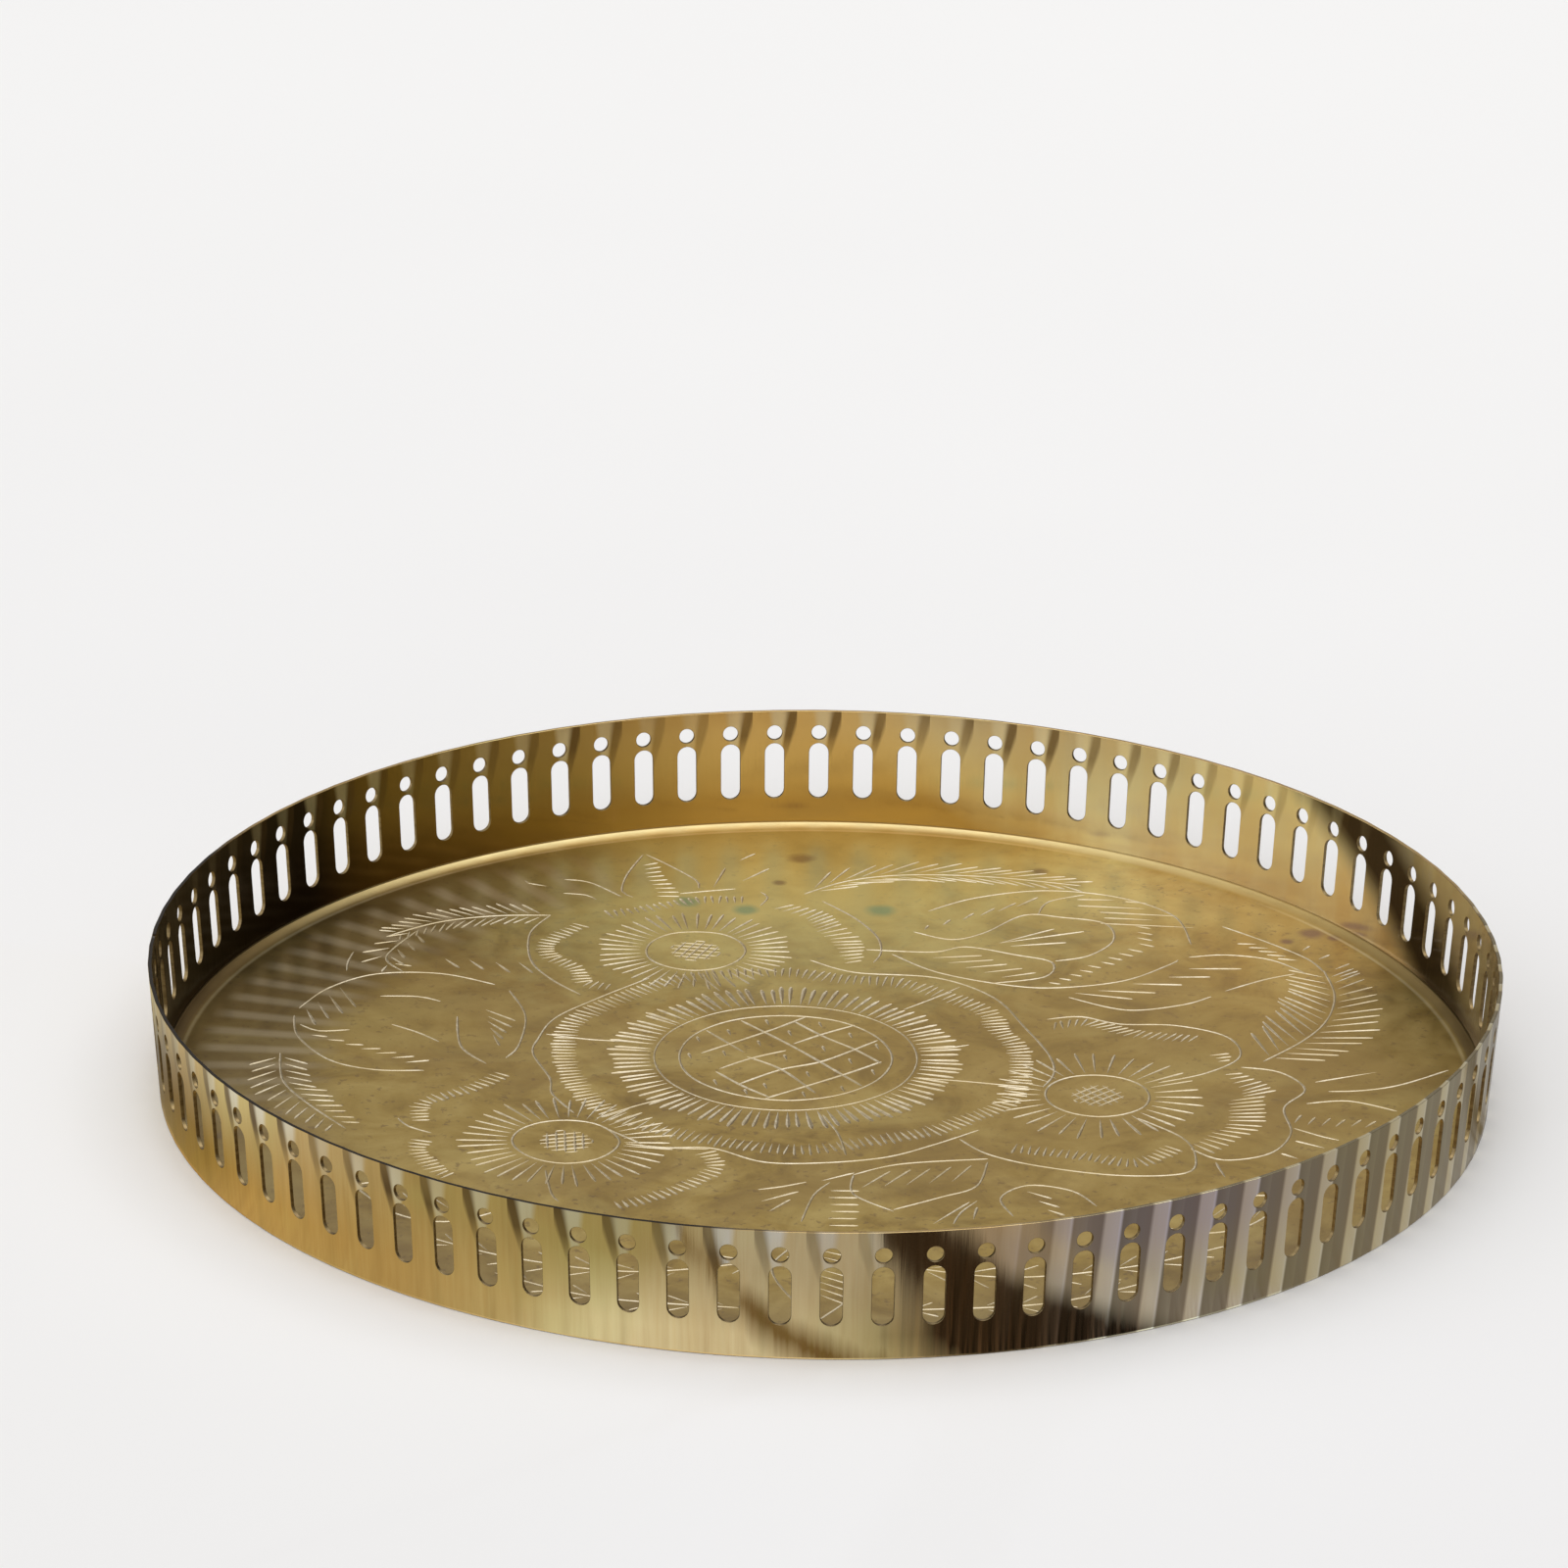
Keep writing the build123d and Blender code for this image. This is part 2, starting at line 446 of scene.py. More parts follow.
def cut_index():
    """The segments of every cut, filed by the squares of the floor they touch."""
    filed = {}
    for stations in cuts:
        for (a, half_a), (b, half_b) in zip(stations, stations[1:]):
            room = max(half_a, half_b)
            low_x, high_x = sorted((a.x, b.x))
            low_y, high_y = sorted((a.y, b.y))
            for i in range(int((low_x - room) // CELL), int((high_x + room) // CELL) + 1):
                for j in range(int((low_y - room) // CELL), int((high_y + room) // CELL) + 1):
                    filed.setdefault((i, j), []).append((a, b, half_a, half_b))
    return filed


def cut_depth(filed, point):
    """How deep the deepest cut is at a point, in millimetres."""
    deepest = 0.0
    for a, b, half_a, half_b in filed.get((int(point.x // CELL), int(point.y // CELL)), ()):
        along = b - a
        share = min(max((point - a).dot(along) / along.length_squared, 0.0), 1.0)
        half = half_a + (half_b - half_a) * share
        deepest = max(deepest, (half - (point - a - along * share).length) * CUT_SLOPE)
    return deepest


def cut_lines():
    """Points and edges for the two sides and the middle line of every cut."""
    points, edges = [], []
    for stations in cuts:
        closed = stations[0] is stations[-1]
        line = [point for point, _ in stations]
        halves = [half for _, half in stations]
        left, right = [], []
        for i, (point, half) in enumerate(stations):
            after = line[min(i + 1, len(line) - 1)] if not closed else line[(i + 1) % (len(line) - 1)]
            before = line[max(i - 1, 0)] if not closed else line[(i - 1) % (len(line) - 1)]
            across = turned((after - before).normalized(), 90) * half
            left.append(point + across)
            right.append(point - across)
        if not closed:
            start = line[0] - (line[1] - line[0]).normalized() * halves[0]
            end = line[-1] + (line[-1] - line[-2]).normalized() * halves[-1]
            left, right, line = ([start] + side + [end] for side in (left, right, line))
        for side in (left, line, right):
            first = len(points)
            points += side
            edges += [(first + i, first + i + 1) for i in range(len(side) - 1)]
    return points, edges


def floor_disc(cove):
    """The engraved floor as (points in metres, triangles, which of them are cut faces).

    Its rim has the same points as the first ring of the cove.
    """
    filed = cut_index()
    points, edges = cut_lines()
    rim = len(points)
    points += [Vector((x, y)) / MM for x, y, _ in cove]
    edges += [(rim + i, rim + (i + 1) % len(cove)) for i in range(len(cove))]
    flat, _, triangles, _, _, _ = delaunay_2d_cdt(points, edges, [], 0, 1e-4)
    placed = [(p.x * MM, p.y * MM, SHEET - cut_depth(filed, p) * MM) for p in flat]
    is_cut = []
    for triangle in triangles:
        middle = sum((flat[i] for i in triangle), Vector((0, 0))) / 3
        is_cut.append(cut_depth(filed, middle) > CUT_FACE)
    return placed, triangles, is_cut


# ------------ meshes
def mesh_object(name, points, faces):
    """A new object with that mesh, standing in the scene."""
    mesh = bpy.data.meshes.new(name)
    mesh.from_pydata(points, [], faces)
    mesh.validate()
    piece = bpy.data.objects.new(name, mesh)
    bpy.context.scene.collection.objects.link(piece)
    return piece


def ring_points(radius, z, count):
    """Points round a level circle, anticlockwise seen from above."""
    angles = (math.tau * i / count for i in range(count))
    return [(radius * math.cos(a), radius * math.sin(a), z) for a in angles]


LIP_SLANT = math.radians(5)  # how much sooner the cove's underside stops than its top


def base_plate():
    """The engraved floor, the cove round it, the plate's lip and its plain underside."""
    around = 4 * COLUMNS
    steps = 8
    sweep = math.asin(COVE_WIDTH / COVE_RADIUS)
    top = [(COVE_RADIUS, sweep * i / steps) for i in range(steps + 1)]
    under = [(COVE_RADIUS + SHEET, (sweep - LIP_SLANT) * i / steps) for i in range(steps, -1, -1)]
    rings = []
    for bend, angle in top + under:
        height = SHEET + COVE_RADIUS - bend * math.cos(angle)
        rings.append(ring_points(FLOOR_RADIUS + bend * math.sin(angle), height, around))

    points, faces, is_cut = floor_disc(rings[0])
    tree = kdtree.KDTree(len(points))
    for i, point in enumerate(points):
        tree.insert(point, i)
    tree.balance()
    ring = [tree.find(point)[1] for point in rings[0]]
    disc_faces = len(faces)
    underside = disc_faces + (steps + 1) * around
    for outline in rings[1:]:
        first = len(points)
        points += outline
        new = list(range(first, first + around))
        for i in range(around):
            j = (i + 1) % around
            faces.append((ring[i], new[i], new[j], ring[j]))
        ring = new
    faces.append(tuple(reversed(ring)))

    plate = mesh_object("plate_engraved", points, faces)
    for polygon in plate.data.polygons:
        on_disc = polygon.index < disc_faces
        polygon.use_smooth = not on_disc and polygon.index < len(faces) - 1
        if on_disc:
            polygon.material_index = int(is_cut[polygon.index])
        elif polygon.index >= underside:
            polygon.material_index = 2
    return plate


FLEX = random.Random(11)
COLUMN_FLEX = [FLEX.uniform(0.75, 1.35) for _ in range(COLUMNS)]
COLUMN_LEAN = [FLEX.uniform(-0.25, 0.25) for _ in range(COLUMNS)]
FLEX_DEPTH = 1.3  # 1 leaves the sheet just flat between the columns
FOOT_FLEX = 0.45  # the share of that at the foot, and what the rim adds
RIM_FLEX = 0.9
BEND = 0.17  # how sharply the strip bends at a column, as a share of the pitch


def band_radius(azimuth, z):
    """The outer radius of the band: a flared circle whose sheet is flatter between the columns."""
    turns = (azimuth - FIRST_COLUMN) / PITCH
    column = round(turns)
    off = (turns - column) * PITCH
    lean = COLUMN_LEAN[column % COLUMNS]
    share = FOOT_FLEX + RIM_FLEX * (z / HEIGHT) ** 2
    sharp = BEND * PITCH
    drop = PITCH / 2 * sharp * math.log(math.cosh(off / sharp)) - off**2 / 2
    ease = 1 - (2 * off / PITCH) ** 2
    sag = drop * COLUMN_FLEX[column % COLUMNS] * ease + drop * (1 - ease)
    tilt = lean * sharp * off * ease**2
    cone = FOOT_RADIUS + (RIM_RADIUS - FOOT_RADIUS) * z / HEIGHT
    return cone - cone * share * FLEX_DEPTH * (sag + tilt)


def band_normal(azimuth, z):
    """The direction straight out of the band's outer face."""
    step = 1e-4
    radius = band_radius(azimuth, z)
    turn = (band_radius(azimuth + step, z) - band_radius(azimuth - step, z)) / (2 * step * radius)
    rise = (band_radius(azimuth, z + MM / 10) - band_radius(azimuth, z - MM / 10)) / (MM / 5)
    out = Vector((math.sin(azimuth), math.cos(azimuth), 0))
    along = Vector((math.cos(azimuth), -math.sin(azimuth), 0))
    return (out - along * turn - Vector((0, 0, 1)) * rise).normalized()


def column_pattern():
    """One column of the band laid flat: its points, triangles and pierced or cut outlines.

    A point is (across, height, pull), and pull leads off a cut edge into the sheet.
    """
    half = PITCH / 2 * (FOOT_RADIUS + RIM_RADIUS) / 2
    rows, across, inner_columns = 16, 8, 12
    up, still = Vector((0, 1)), Vector((0, 0))
    border = [(Vector((half * (2 * i / across - 1), 0)), up) for i in range(across + 1)]
    border += [(Vector((half, HEIGHT * j / rows)), still) for j in range(1, rows)]
    border += [(Vector((half * (1 - 2 * i / across), HEIGHT)), -up) for i in range(across + 1)]
    border += [(Vector((-half, HEIGHT * j / rows)), still) for j in range(rows - 1, 0, -1)]

    cap = SLOT_WIDTH / 2
    straight = SLOT_LENGTH / 2 - cap
    cap_steps, side_steps, dot_steps = 10, 5, 24
    slot = []
    for end, start_angle in ((straight, 0), (-straight, 180)):
        for i in range(cap_steps + 1):
            direction = polar((0, 0), 1, start_angle + 180 * i / cap_steps)
            slot.append((Vector((0, SLOT_Z + end)) + direction * cap, direction))
        side = -1 if end > 0 else 1
        for i in range(1, side_steps):
            height = SLOT_Z + end * (1 - 2 * i / side_steps)
            slot.append((Vector((side * cap, height)), Vector((side, 0))))
    around_dot = [polar((0, 0), 1, 360 * i / dot_steps) for i in range(dot_steps)]
    dot = [(Vector((0, DOT_Z)) + direction * DOT_RADIUS, direction) for direction in around_dot]

    points, pulls, edges, outlines = [], [], [], []
    for outline in (border, slot, dot):
        first = len(points)
        indices = list(range(first, first + len(outline)))
        points += [point for point, _ in outline]
        pulls += [direction for _, direction in outline]
        edges += list(zip(indices, indices[1:] + indices[:1]))
        outlines.append(indices)
    hole_room, edge_room = 0.5 * MM, 0.6 * MM
    for i in range(1, inner_columns):
        for j in range(1, 2 * rows):
            point = Vector((half * (2 * i / inner_columns - 1), HEIGHT * (j + (i % 2) / 2) / (2 * rows)))
            to_slot = (point - Vector((0, min(max(point.y, SLOT_Z - straight), SLOT_Z + straight)))).length
            to_dot = (point - Vector((0, DOT_Z))).length
            clear = to_slot > cap + hole_room and to_dot > DOT_RADIUS + hole_room
            if clear and edge_room < point.y < HEIGHT - edge_room:
                points.append(point)
                pulls.append(still)
    scaled = [point / MM for point in points]
    _, _, triangles, _, _, _ = delaunay_2d_cdt(scaled, edges, [], 0, 1e-5)
    holes = [set(outline) for outline in outlines[1:]]
    kept = [tuple(t) for t in triangles if not any(set(t) <= hole for hole in holes)]
    return points, pulls, kept, outlines


def gallery_band():
    """The flared band: the column pattern repeated round the tray, with its edges slightly broken."""
    pattern, pulls, triangles, (border, slot, dot) = column_pattern()
    half = max(point.x for point in pattern)
    middle_radius = (FOOT_RADIUS + RIM_RADIUS) / 2
    layers = ((0.0, True), (EDGE_BREAK / SHEET, False), (1 - EDGE_BREAK / SHEET, False), (1.0, True))
    points, faces, normals, materials = [], [], [], []
    seam_columns = {-1: -1, COLUMNS - 2: 1}  # the first and the last, with the side their seam is on
    for column in range(-1, COLUMNS - 1):
        centre = FIRST_COLUMN + column * PITCH
        base = len(points)
        seam_side = seam_columns.get(column, 0)
        for depth, is_face in layers:
            for point, pull in zip(pattern, pulls):
                at_seam = seam_side and abs(point.x - seam_side * half) < MM / 100
                spot = point + pull * EDGE_BREAK if is_face else point.copy()
                if at_seam:
                    spot.x -= seam_side * (SEAM_GAP / 2 + (EDGE_BREAK if is_face else 0))
                azimuth = centre + spot.x / middle_radius
                radius = band_radius(azimuth, spot.y) - depth * LEVEL_WALL
                points.append((radius * math.sin(azimuth), radius * math.cos(azimuth), spot.y))
                out = band_normal(azimuth, spot.y)
                along = Vector((math.cos(azimuth), -math.sin(azimuth), 0))
                if is_face:
                    normals.append(out if depth == 0 else -out)
                elif at_seam:
                    normals.append(along * seam_side)
                else:
                    wall = -(along * pull.x + Vector((0, 0, 1)) * pull.y)
                    normals.append(wall.normalized() if wall.length > 0 else out)
        size = len(pattern)
        inner = base + 3 * size
        for a, b, c in triangles:
            faces.append((base + c, base + b, base + a))
            faces.append((inner + a, inner + b, inner + c))
            materials += [0, 1]
        open_edges = [pair for outline in (slot, dot) for pair in zip(outline, outline[1:] + outline[:1])]
        for a, b in zip(border, border[1:] + border[:1]):
            on_side = abs(pattern[a].x - pattern[b].x) < MM / 100
            if not on_side or (seam_side and abs(pattern[a].x - seam_side * half) < MM / 100):
                open_edges.append((b, a))
        for a, b in open_edges:
            for layer in range(3):
                low, high = base + layer * size, base + (layer + 1) * size
                faces.append((high + a, high + b, low + b, low + a))
                materials.append(0 if pattern[a].y == pattern[b].y == HEIGHT else 2)
    band = mesh_object("band_pierced", points, faces)
    band.data.polygons.foreach_set("use_smooth", [True] * len(faces))
    band.data.polygons.foreach_set("material_index", materials)
    band.data.normals_split_custom_set_from_vertices(normals)
    return band


# ------------ node trees
def formula(operation, swapped=False):
    """An operator of Value that adds one arithmetic node."""

    def result(self, other=0.0):
        pair = (other, self) if swapped else (self, other)
        return self.graph.maths(operation, *pair)

    return result


class Value:
    """A number in a node tree, so that sums are written as plain arithmetic."""

    def __init__(self, graph, socket):
        self.graph = graph
        self.socket = socket

    __add__ = formula("ADD")
    __sub__ = formula("SUBTRACT")
    __rsub__ = formula("SUBTRACT", swapped=True)
    __mul__ = formula("MULTIPLY")
    __truediv__ = formula("DIVIDE")
    __abs__ = formula("ABSOLUTE")


# Between these lies nearly all of a noise
GRAIN_LOW = 0.3
GRAIN_HIGH = 0.7


class Graph:
    """A node tree under construction, with short ways to add its nodes."""

    def __init__(self, tree, place):
        self.tree = tree
        self.place = self.add("ShaderNodeTexCoord").outputs[place]

    def join(self, source, target):
        """Feed a socket from a value or another socket, or set it to a constant."""
        if isinstance(source, Value):
            source = source.socket
        if isinstance(source, bpy.types.NodeSocket):
            self.tree.links.new(source, target)
        else:
            target.default_value = (*source, 1) if target.type == "RGBA" else source

    def add(self, kind, inputs=None, **settings):
        """A new node with its settings made and its inputs joined."""
        node = self.tree.nodes.new(kind)
        for name, setting in settings.items():
            setattr(node, name, setting)
        for name, source in (inputs or {}).items():
            self.join(source, node.inputs[name])
        return node

    def noise(self, scale, detail=4.0, roughness=0.55, stretch=(1, 1, 1), distortion=0.0, place=None):
        """Noise from 0 to 1. Scale is in features per metre."""
        squeeze = self.add("ShaderNodeMapping", {"Vector": place or self.place, "Scale": stretch})
        inputs = {
            "Vector": squeeze.outputs["Vector"], "Scale": scale, "Detail": detail,
            "Roughness": roughness, "Distortion": distortion,
        }
        return Value(self, self.add("ShaderNodeTexNoise", inputs).outputs["Fac"])

    def ramp(self, value, *stops):
        """Colours along a value, each stop a (position, colour)."""
        ramp = self.add("ShaderNodeValToRGB", {"Fac": value})
        elements = ramp.color_ramp.elements
        while len(elements) < len(stops):
            elements.new(0.5)
        for element, (position, colour) in zip(elements, stops):
            element.position = position
            element.color = (*colour, 1)
        return ramp.outputs["Color"]

    def span(self, value, low, high, start=0.0, end=1.0):
        """A value taken from one range to another, held at the ends."""
        inputs = {"Value": value, "From Min": low, "From Max": high, "To Min": start, "To Max": end}
        return Value(self, self.add("ShaderNodeMapRange", inputs).outputs["Result"])

    def maths(self, operation, a, b=0.0):
        """One arithmetic step."""
        return Value(self, self.add("ShaderNodeMath", {0: a, 1: b}, operation=operation).outputs["Value"])

    def vector(self, operation, other=(0, 0, 0), first=None):
        """A number from two vectors, the first of which is the place unless given."""
        inputs = {0: first or self.place, 1: other}
        return Value(self, self.add("ShaderNodeVectorMath", inputs, operation=operation).outputs["Value"])

    def mix(self, share, a, b):
        """Colour a turning into colour b."""
        inputs = {"Factor": share, "A": a, "B": b}
        return self.add("ShaderNodeMix", inputs, data_type="RGBA").outputs["Result"]

    def axis(self, name):
        """The X, Y or Z of the place."""
        return Value(self, self.add("ShaderNodeSeparateXYZ", {"Vector": self.place}).outputs[name])

    def bearing(self):
        """The compass bearing of the place as a share of a turn, clockwise from the back."""
        turn = self.maths("ARCTAN2", self.axis("X"), self.axis("Y")) / math.tau
        return self.maths("FRACT", turn + 1.0)

    def radius(self):
        """How far the place is from the middle of the tray."""
        return self.vector("LENGTH")

    def by_degrees(self, turn, tones, start=0.0):
        """Tones by degrees along a share of a turn, counted from its start."""
        return self.ramp(turn, *((start + degrees / 360, tone) for degrees, tone in tones))

    def two_tone(self, grain, dark, pale):
        """A colour between two by the grain of some noise."""
        return self.ramp(grain, (GRAIN_LOW, dark), (GRAIN_HIGH, pale))

    def between(self, grain, least, most):
        """A number between two by the grain of some noise."""
        return self.span(grain, GRAIN_LOW, GRAIN_HIGH, least, most)


class Finish(Graph):
    """A material under construction."""

    def __init__(self, name):
        self.material = bpy.data.materials.new(name)
        self.material.use_nodes = True
        super().__init__(self.material.node_tree, "Object")
        self.surface = self.tree.nodes["Principled BSDF"]

    def blot(self, x, y, radius):
        """1 inside a round spot on the floor, in millimetres, fading to 0 at its wide, ragged edge."""
        edge = 0.9 * radius * MM
        away = self.vector("DISTANCE", (x * MM, y * MM, SHEET)) + (self.noise(160, 3) - 0.5) * edge
        return self.span(away, radius * MM - edge / 2, radius * MM + edge / 2, 1.0, 0.0)

    def toward(self, direction):
        """How far the face leans towards a direction."""
        return self.vector("DOT_PRODUCT", direction, self.add("ShaderNodeNewGeometry").outputs["Normal"])

    def unrolled(self):
        """The place along the band, round the tray and up, for grain that runs with the strip."""
        around = self.maths("ARCTAN2", self.axis("Y"), self.axis("X")) * RIM_RADIUS
        return self.add("ShaderNodeCombineXYZ", {"X": around, "Y": self.axis("Z")}).outputs["Vector"]

    def arc_mask(self, centre, core, edge):
        """1 round about a bearing in degrees, fading to 0 between so many degrees off it."""
        turns = self.maths("FRACT", self.bearing() + (1.5 - centre / 360))
        return self.span(abs(turns - 0.5), core / 360, edge / 360, 1.0, 0.0)

    def column_phase(self):
        """Where the place is across its column, from -0.5 to 0.5, 0 on the slot's middle line."""
        columns = self.bearing() * COLUMNS + (0.5 + COLUMNS - COLUMNS * FIRST_COLUMN / math.tau)
        return self.maths("FRACT", columns) - 0.5

    def bump(self, height, depth, strength, under=None):
        """Relief of a given depth in metres, laid over an earlier one."""
        bump = self.add("ShaderNodeBump", {"Height": height, "Distance": depth, "Strength": strength})
        if under:
            self.join(under, bump.inputs["Normal"])
        return bump.outputs["Normal"]

    def set_surface(self, **inputs):
        """Join inputs of the surface, named with underscores for spaces."""
        for name, source in inputs.items():
            self.join(source, self.surface.inputs[name.replace("_", " ")])

    def finish(self, colour, roughness, normal=None, metallic=1.0):
        """Wire up the surface and give back the material."""
        self.set_surface(Base_Color=colour, Roughness=roughness, Metallic=metallic)
        if normal:
            self.set_surface(Normal=normal)
        return self.material


# ------------ materials
GOLD = (0.72, 0.50, 0.22)
WARM_GOLD = (0.78, 0.57, 0.27)
OLD_GOLD = (0.50, 0.36, 0.15)
BROWN = (0.38, 0.25, 0.08)
TARNISH = (0.24, 0.15, 0.07)
SHADE = (0.20, 0.13, 0.05)
DUSK = (0.24, 0.18, 0.11)
OLIVE = (0.50, 0.345, 0.095)
PALE_OLIVE = (0.60, 0.445, 0.155)
DEEP_OLIVE = (0.34, 0.22, 0.055)
VERDIGRIS = (0.20, 0.36, 0.22)
UMBER = (0.05, 0.032, 0.02)
PLUM = (0.20, 0.10, 0.09)
CUT_DARK = (0.20, 0.145, 0.07)
DARK_REFLECTION = (0.022, 0.014, 0.009)
BURNT = (0.36, 0.21, 0.045)
COPPERY = (0.56, 0.33, 0.10)
RUSSET = (0.44, 0.28, 0.075)
STRAW = (0.74, 0.70, 0.30)
YELLOW = (0.70, 0.56, 0.21)
FAWN = (0.66, 0.54, 0.34)
BEIGE = (0.76, 0.69, 0.56)
CREAM = (0.95, 0.90, 0.80)

# Wide tints and small spots on the floor in millimetres: across, back, radius, strength and colour
FLOOR_TINTS = (
    (95, 5, 85, 0.40, RUSSET), (-95, 40, 45, 0.35, RUSSET), (-15, 150, 85, 0.55, STRAW),
    (-7, 147, 3.0, 0.7, TARNISH), (59, 140, 2.0, 0.7, TARNISH), (-13, 129, 1.6, 0.7, TARNISH),
    (125, 92, 1.8, 0.7, PLUM), (132, 98, 3.2, 0.7, PLUM), (138, 95, 1.8, 0.7, PLUM),
    (15, 110, 3.5, 0.7, VERDIGRIS), (-22, 109, 3.0, 0.7, VERDIGRIS), (-38, 114, 3.0, 0.7, VERDIGRIS),
)


def aged_brass(name):
    """The start of either side of the plate: mottled, clouded brass with dark specks."""
    brass = Finish(name)
    mottle = brass.noise(38, 8, 0.66, distortion=0.8)
    colour = brass.ramp(mottle, (0.34, DEEP_OLIVE), (0.48, OLIVE), (0.64, PALE_OLIVE))
    clouds = brass.span(brass.noise(13, 8, 0.68, distortion=1.2), 0.48, 0.58)
    colour = brass.mix(clouds * 0.55, colour, BROWN)
    bright = brass.span(brass.noise(17, 6, 0.6, stretch=(1, 1.6, 1), distortion=0.8), 0.52, 0.68)
    colour = brass.mix(bright * 0.55, colour, YELLOW)
    specks = brass.span(brass.noise(420, 3, 0.6), 0.60, 0.68)
    colour = brass.mix(specks * 0.55, colour, TARNISH)
    beaten = brass.bump(brass.noise(45, 4, 0.6), 0.00025, 0.6)
    return brass, mottle, colour, beaten


def underside_brass():
    """The plain underside of the plate, duller than its top."""
    brass, mottle, colour, beaten = aged_brass("plain_underside_brass")
    colour = brass.mix(brass.span(brass.noise(25, 5, 0.6), 0.4, 0.65, 0.1, 0.5), colour, TARNISH)
    return brass.finish(colour, brass.between(mottle, 0.36, 0.48), beaten)


def floor_brass():
    """The top of the plate: softly polished, with fine scratches, a few stains, and painted shade and
    light near the band.
    """
    brass, mottle, colour, beaten = aged_brass("aged_floor_brass")
    for x, y, size, strength, tint in FLOOR_TINTS:
        colour = brass.mix(brass.blot(x, y, size) * strength, colour, tint)

    # Painted shade on the left where the band's shadow falls, with a painted streak of light in line with
    # each slot
    radius = brass.radius()
    shaded = brass.arc_mask(295, 26, 46) * brass.span(radius, 0.126, 0.140)
    colour = brass.mix(shaded * 0.6, colour, SHADE)
    slot_light = brass.span(abs(brass.column_phase()), 0.10, 0.30, 1.0, 0.0) * shaded
    colour = brass.mix(slot_light * brass.span(radius, 0.160, 0.165, 0.6, 0.0), colour, FAWN)
    # Painted shade on the floor just inside the front of the band
    front_shade = brass.arc_mask(195, 60, 85) * brass.span(radius, 0.125, 0.155)
    colour = brass.mix(front_shade * 0.45, colour, DUSK)

    # The cove, painted shade on the sides and front and painted light at the back, with a painted line of
    # light where it starts
    lit = brass.arc_mask(8, 42, 84)
    cove = brass.mix(lit, SHADE, (0.56, 0.41, 0.16))
    cove = brass.mix(brass.arc_mask(353, 18, 55), cove, (0.64, 0.55, 0.29))
    in_cove = brass.span(radius, FLOOR_RADIUS + COVE_WIDTH / 4, FLOOR_RADIUS + COVE_WIDTH / 2)
    colour = brass.mix(in_cove, colour, cove)
    ring = brass.span(abs(radius - (FLOOR_RADIUS + COVE_WIDTH / 5)), 0.2 * MM, 0.7 * MM, 0.7, 0.0)
    ring = ring * (1.0 - brass.arc_mask(36, 6, 22)) * brass.span(lit, 0.0, 1.0, 0.4, 1.0)
    colour = brass.mix(ring, colour, (0.86, 0.75, 0.46))

    scratches = brass.noise(60, 3, 0.6, stretch=(1, 45, 1)) + brass.noise(60, 3, 0.6, stretch=(38, 1, 1))
    normal = brass.bump(scratches, 0.00001, 0.5, under=beaten)
    return brass.finish(colour, brass.between(mottle, 0.29, 0.39), normal, metallic=0.93)


def cut_brass():
    """The faces of the engraved cuts: painted light on faces turned one way, painted shade on faces turned
    the other, darker towards the bottom and worn in places.
    """
    cut = Finish("engraved_cut_brass")
    grain = cut.noise(700, 3, 0.6)
    colour = cut.two_tone(grain, (0.56, 0.47, 0.31), (0.86, 0.77, 0.59))
    wear_and_sheen = cut.span(cut.noise(40, 4, 0.6), 0.42, 0.60)
    colour = cut.mix(wear_and_sheen * 0.6, colour, (0.48, 0.37, 0.18))
    deep = cut.span(cut.axis("Z"), SHEET - 0.26 * MM, SHEET - 0.10 * MM, 0.45, 0.0)
    colour = cut.mix(deep, colour, CUT_DARK)
    # Painted light and shade: faces leaning towards the front right stay pale, faces leaning away turn
    # dark
    colour = cut.mix(cut.span(cut.toward((0.8, -0.6, 0)), -0.36, -0.02), CUT_DARK, colour)
    return cut.finish(colour, cut.between(grain, 0.35, 0.5), metallic=0.5)


# The painted reflection stripes outside: how many would go round, where one meets a column, and their lean
# in pitches
STRIPES = COLUMNS - 4.6
STRIPE_BEARING = 115 / 360
STRIPE_LEAN = 0.2

# Painted reflections on the lining by azimuth in degrees, at the foot and at the rim
LINING_LOW = (
    (-180, OLD_GOLD), (-120, DARK_REFLECTION), (-54, DARK_REFLECTION), (-45, (0.22, 0.13, 0.03)), (-28, BURNT),
    (-10, COPPERY), (150, COPPERY), (180, OLD_GOLD),
)
LINING_HIGH = (
    (-180, OLD_GOLD), (-120, DARK_REFLECTION), (-54, DARK_REFLECTION), (-44, (0.34, 0.22, 0.06)), (-25, OLD_GOLD),
    (-10, (0.94, 0.69, 0.34)), (120, GOLD), (180, OLD_GOLD),
)

# Painted reflections on its right, light and dark, by azimuth at the foot; they lean by so many degrees up
# to the rim
REFLECTION_LEAN = 20
RIGHT_REFLECTIONS = (
    (20, (0.98, 0.83, 0.54)), (34, BEIGE), (52, (0.66, 0.58, 0.44)), (65, BEIGE), (71, UMBER),
    (79, UMBER), (87, (0.62, 0.61, 0.62)), (97, (0.80, 0.83, 0.86)), (106, (0.95, 0.95, 0.88)),
)


def reflection_wedge(brass, rim_phase, slot_phase, width):
    """1 in a slanting wedge of painted reflection beside each dot, wide at the rim and running out beside
    the slot.
    """
    rise = brass.span(brass.axis("Z"), SLOT_Z, HEIGHT, 0.02, 1.0)
    off = abs(brass.column_phase() - brass.span(rise, 0.0, 1.0, slot_phase, rim_phase))
    wedge = brass.span(off / (rise * width), 0.45, 1.0, 1.0, 0.0)
    return wedge * brass.span(rise, 0.1, 0.6)


